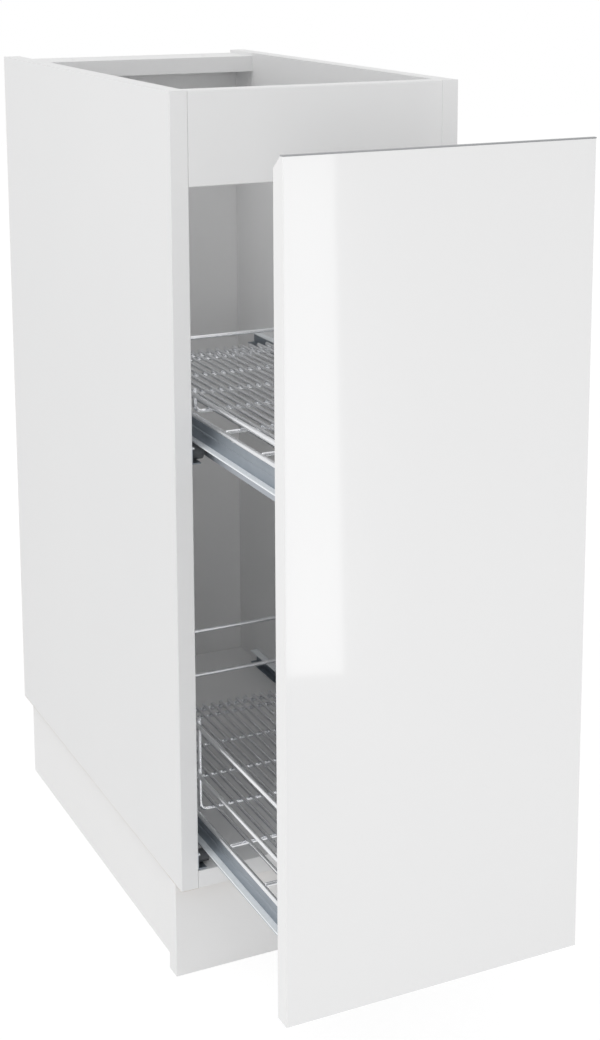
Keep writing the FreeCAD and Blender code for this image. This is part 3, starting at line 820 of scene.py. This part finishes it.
def domeProfile(start, radius, height, steps=7):
    # a low cap: along = start + height * sin a, radius * cos a
    angle = np.linspace(0, np.pi / 2, steps)
    return np.stack([start + height * np.sin(angle), radius * np.cos(angle)], axis=1)


def rivetGrid(foot, seat, toward, y, z, bothHeads):
    # a shank from foot to seat with a domed head on the seat and, on a through rivet, one on the
    # foot
    length, radius = abs(seat - foot), rivet["radius"]
    footEnd = [(0, 0)]
    if bothHeads:
        footEnd = domeProfile(0, rivet["headRadius"], -rivet["headHeight"])[::-1]
    seatEnd = domeProfile(length, rivet["headRadius"], rivet["headHeight"])
    profile = np.vstack([footEnd, [(0, radius), (length, radius)], seatEnd])
    return latheGrid(profile, (foot, y, z), (toward, 0, 0), up, rivet["sides"])


rivetGrids = {"front": [], "rear": []}
for level in levels:
    for side, sign in sides.items():
        feet = {
            "front": sign * boxOf("side_panel_right")[0][0],
            "rear": sign * boxOf(level + "_basket_rail_right")[0][0],
        }
        # toward is the way along X from the roller's collar to its recess
        for end, toward in (("front", -sign), ("rear", sign)):
            name = f"{level}_{end}_roller_{side}"
            low, high = boxOf(name)
            y, z = middleOf(name)[1:]
            collarEnd, recessEnd = (low[0], high[0]) if toward > 0 else (high[0], low[0])
            profile = rollerProfile(high[0] - low[0], (high[2] - low[2]) / 2)
            grid = latheGrid(profile, (collarEnd, y, z), (toward, 0, 0), up, roller["sides"])
            pieceFromGrids(name + "_turned", [grid], name + "_body", "roller_nylon", [name])
            seat = recessEnd - toward * (roller["recessDepth"] - rivet["play"])
            rivetGrids[end].append(rivetGrid(feet[end], seat, toward, y, z, end == "rear"))
for end, body in (("front", "cabinet"), ("rear", "pullout")):
    node = end + "_roller_rivets"
    pieceFromGrids(node + "_domed", rivetGrids[end], body, "zinc_fastener", [node])
print("rollers and rivets done")


# Screws

screwShape = {
    "armLength": 0.58,       # of the head's radius, as the next two are
    "armHalfWidth": 0.15,
    "hub": 0.24,
    "recess": 0.75,          # of the head's height
    "recessRise": 0.5,       # share by which it is shallower at the arms' ends
    "dome": 0.35,
    "threadPitch": 0.0018,
    "threadDepth": 0.14,     # of the shank's radius
    "rowsPerPitch": 8,
    "point": 1.6,            # the point's length, of the shank's radius
    "pointPower": 0.6,
    "sink": 0.0002,          # the shank starts this far inside the head
    "sides": 24,
    "rings": 14,
    "sharpAngle": 30,
}


def headGrid(seat, axis, across, screw):
    # top: height * (1 - dome * r^2) with a cross sunk into it, then the rim down to the seat
    count = 2 * screwShape["sides"]
    turn = np.linspace(0, 2 * np.pi, count + 1)[None, :]
    ring = np.linspace(0, 1, screwShape["rings"])[:, None]
    around = ringAbout(axis, across, count)[None]
    offArm = ring * np.minimum(abs(np.cos(turn)), abs(np.sin(turn)))
    arm = (offArm < screwShape["armHalfWidth"]) & (ring < screwShape["armLength"])
    sunk = arm | (ring < screwShape["hub"])
    rise = np.clip(1 - ring / screwShape["armLength"] * screwShape["recessRise"], 0, 1)
    top = screw["headHeight"] * (1 - screwShape["dome"] * ring ** 2 * np.ones_like(turn))
    top = top - np.where(sunk, screw["headHeight"] * screwShape["recess"] * rise, 0)
    cap = top[..., None] * np.asarray(axis) + screw["headRadius"] * (ring[..., None] * around)
    rim = screw["headRadius"] * around
    return np.vstack([cap, rim, np.zeros_like(rim)]) + np.asarray(seat)


def shankGrid(seat, axis, across, screw):
    # a plain neck, then a thread: radius * (1 - threadDepth * groove), groove being a triangle wave
    # that climbs one pitch a turn, and a point where radius falls as (distance to the end) ^ power
    radius, length, pitch = screw["radius"], screw["length"], screwShape["threadPitch"]
    turn = np.linspace(0, 2 * np.pi, screwShape["sides"] + 1)[None, :]
    down = np.linspace(0, length, int(length / pitch * screwShape["rowsPerPitch"]))[:, None]
    phase = (down / pitch - turn / (2 * np.pi)) % 1
    groove = 2 * abs(phase - 0.5) * (down > screw["plain"])
    size = radius * (1 - screwShape["threadDepth"] * groove)
    toEnd = np.clip((length - down) / (screwShape["point"] * radius), 0, 1)
    size = size * toEnd ** screwShape["pointPower"]
    sunk = np.full((2, 1), -screwShape["sink"])     # a closed end inside the head
    down, size = np.vstack([sunk, down]), np.vstack([0 * size[:1], size[:1], size])
    around = ringAbout(axis, across, screwShape["sides"])[None]
    return np.asarray(seat) - down[..., None] * np.asarray(axis) + size[..., None] * around


def screwGrids(seat, axis, across, screw):
    # the head stands on the seat along the axis, and the shank goes the other way
    return [headGrid(seat, axis, across, screw), shankGrid(seat, axis, across, screw)]


def screwPiece(name, grids, body):
    pieceFromGrids(name + "_cross", grids, body, "zinc_fastener", [name], screwShape["sharpAngle"])


runnerScrew = {
    "steps": (0, 7, 11),     # in the side panel's row of holes
    "first": 0.037,          # from the side panel's front edge
    "pitch": 0.032,
    "steel": 0.0012,         # the cabinet rail's wall
    "headRadius": 0.0044,
    "headHeight": 0.0014,
    "radius": 0.0025,
    "length": 0.0122,
    "plain": 0.0015,
}
grids = []
wallX, wallY = boxOf("side_panel_right")[0][:2]
for level in levels:
    z = middleOf(level + "_front_roller_right")[2]
    for sign in sides.values():
        for step in runnerScrew["steps"]:
            y = wallY + runnerScrew["first"] + runnerScrew["pitch"] * step
            seat = (sign * (wallX - runnerScrew["steel"]), y, z)
            grids += screwGrids(seat, (-sign, 0, 0), up, runnerScrew)
screwPiece("runner_screws", grids, "cabinet")

bracketScrew = {
    "side": 0.0149,          # from the bracket's outer face
    "heights": {"lower": (-0.0125, 0.0205, 0.068), "upper": (-0.0125, 0.0102)},     # from the frame
    "headRadius": 0.0039,
    "headHeight": 0.0021,
    "radius": 0.002,
    "length": 0.014,
    "plain": 0.002,
}
grids = []
for level in levels:
    frameZ = middleOf(level + "_basket_frame")[2]
    x = boxOf(level + "_front_bracket_right")[1][0] - bracketScrew["side"]
    y = boxOf(level + "_basket_rail_right")[0][1]
    for sign in sides.values():
        for height in bracketScrew["heights"][level]:
            grids += screwGrids((sign * x, y, frameZ + height), along, up, bracketScrew)
screwPiece("bracket_screws", grids, "pullout")

plinthScrew = {
    "blockHalf": 0.015,      # half of a corner block's width
    "headRadius": 0.00495,
    "headHeight": 0.0025,
    "radius": 0.0025,
    "plain": 0.02,
}
grids = []
low, high = boxOf("plinth_corner_blocks")
screwLow, screwHigh = boxOf("plinth_screws")
seatZ = screwLow[2] + plinthScrew["headHeight"]
plinthScrew["length"] = screwHigh[2] - seatZ
for sign in sides.values():
    for y in (low[1] + plinthScrew["blockHalf"], high[1] - plinthScrew["blockHalf"]):
        seat = (sign * (high[0] - plinthScrew["blockHalf"]), y, seatZ)
        grids += screwGrids(seat, (0, 0, -1), right, plinthScrew)
screwPiece("plinth_screws", grids, "cabinet")
print("screws done")


# Bumpers and the grip's edge strip

bumper = {"radius": 0.0045, "steps": 10, "sides": 40}
low, high = boxOf("front_bumpers")
dome = domeProfile(0, bumper["radius"], high[1] - low[1], bumper["steps"])
grids = []
for x in (low[0] + bumper["radius"], high[0] - bumper["radius"]):
    for z in (low[2] + bumper["radius"], high[2] - bumper["radius"]):
        profile = np.vstack([[(0, 0)], dome])
        grids.append(latheGrid(profile, (x, low[1], z), along, right, bumper["sides"]))
pieceFromGrids("front_bumper_domes", grids, "pullout", "bumper_rubber", ["front_bumpers"])

# the strip's outline with rounded corners, carried from end to end along X
strip = {"round": 0.00035, "steps": 4, "sharpAngle": 50}
low, high = boxOf("grip_edge_strip")
edge, centreLine = strip["round"], middleOf("grip_edge_strip")[1:]
corners = [(high[1], high[2], 0), (low[1], high[2], 90), (low[1], low[2], 180), (high[1], low[2], 270)]
arcs = []
for y, z, start in corners:
    corner = np.array([y, z])
    centre = corner - edge * np.sign(corner - centreLine)
    arcs.append(roundedCorner(centre, edge, start, start + 90, strip["steps"]))
outline = np.vstack(arcs + [arcs[0][:1]])
middle = outline.mean(0)
ends = [(low[0], 0.0), (low[0], 1.0), (high[0], 1.0), (high[0], 0.0)]
grid = np.stack([
    np.column_stack([np.full(len(outline), x), middle + share * (outline - middle)])
    for x, share in ends
])
pieceFromGrids(
    "grip_edge_profile", [grid], "pullout", "edge_aluminium", ["grip_edge_strip"], strip["sharpAngle"],
)
print("trim done")


# Studio

studio = {
    "floorSize": 14.0,
    "floorColour": (0.97, 0.97, 0.97),
    "floorWhite": 1.10,      # strength of the floor's plain white in the background
    "floorShare": 0.78,      # of that white; the rest is the matt floor, which keeps the shadow
    "worldColour": (1, 1, 1),
    "worldLight": 0.74,      # strength that lights the object
    "worldWhite": 1.0,       # strength that the background shows
}


def shownWhite(finish):
    # 1 for rays that meet the plain background: from the camera, in gloss and through clear parts
    names = ("Is Camera Ray", "Is Glossy Ray", "Is Transmission Ray")
    camera, gloss, clear = finish.several("ShaderNodeLightPath", names)
    return camera.greatest(gloss).greatest(clear)


half = studio["floorSize"] / 2
floorCorners = [(-half, -half, 0), (half, -half, 0), (half, half, 0), (-half, half, 0)]
floorMesh = bpy.data.meshes.new("studio_floor")
floorMesh.from_pydata(floorCorners, [], [(0, 1, 2, 3)])
floor = addObject("studio_floor", floorMesh)
floorMaterial = bpy.data.materials.new("studio_floor")
floorMaterial.use_nodes = True
finish = Finish(floorMaterial.node_tree)
matt = finish.node("ShaderNodeBsdfDiffuse", inputs={"Color": studio["floorColour"]})
glow = finish.node("ShaderNodeEmission", inputs={"Strength": studio["floorWhite"]})
white = shownWhite(finish) * studio["floorShare"]
surface = finish.node("ShaderNodeMixShader", inputs={0: white, 1: matt, 2: glow})
finish.node("ShaderNodeOutputMaterial", inputs={"Surface": surface})
floorMesh.materials.append(floorMaterial)

world = bpy.data.worlds.new("studio_world")
bpy.context.scene.world = world
world.use_nodes = True
finish = Finish(world.node_tree)
light, plain = (
    finish.node("ShaderNodeBackground", inputs={"Color": studio["worldColour"], "Strength": studio[name]})
    for name in ("worldLight", "worldWhite")
)
surface = finish.node("ShaderNodeMixShader", inputs={0: shownWhite(finish), 1: light, 2: plain})
finish.node("ShaderNodeOutputWorld", inputs={"Surface": surface})

lamps = {
    "key": {
        "place": (-1.7, -0.1, 3.0),
        "aim": (0.0, 0.0, 0.6),
        "size": (1.2, 1.2),
        "watts": 13.0,
    },
    "fill": {
        "place": (-1.5, -2.7, 0.9),
        "aim": (0.0, 0.0, 0.6),
        "size": (0.9, 0.9),
        "watts": 12.0,
    },
    "strip": {               # seen in the front's lacquer
        "place": (0.268, -1.2, 0.39),
        "aim": (0.0, -0.38, 0.5),
        "size": (0.078, 0.70),
        "watts": 0.32,
    },
}


def aimRotation(place, aim):
    # turns -Z to the aim and keeps Y upright
    return (Vector(aim) - Vector(place)).to_track_quat("-Z", "Y").to_euler()


for name, lamp in lamps.items():
    data = bpy.data.lights.new(name + "_lamp", "AREA")
    data.shape = "RECTANGLE"
    data.size, data.size_y = lamp["size"]
    data.energy = lamp["watts"]
    made = addObject(name + "_lamp", data)
    made.location = lamp["place"]
    made.rotation_euler = aimRotation(lamp["place"], lamp["aim"])
    made.visible_camera = False

view = {
    "place": (-0.742, -1.671, 1.0196),
    "yaw": 26.29,            # toward +X from +Y, in degrees
    "pitch": 10.50,          # downwards
    "lens": 63.02,
    "sensor": 36.0,
    "shift": (-0.0314, -0.2400),
}
cameraData = bpy.data.cameras.new("photo_camera")
cameraData.lens = view["lens"]
cameraData.sensor_width = view["sensor"]
cameraData.shift_x, cameraData.shift_y = view["shift"]
camera = addObject("photo_camera", cameraData)
camera.location = view["place"]
camera.rotation_euler = (math.radians(90 - view["pitch"]), 0, math.radians(-view["yaw"]))
bpy.context.scene.camera = camera
bpy.context.scene.view_settings.view_transform = "Standard"
print("studio and camera done")
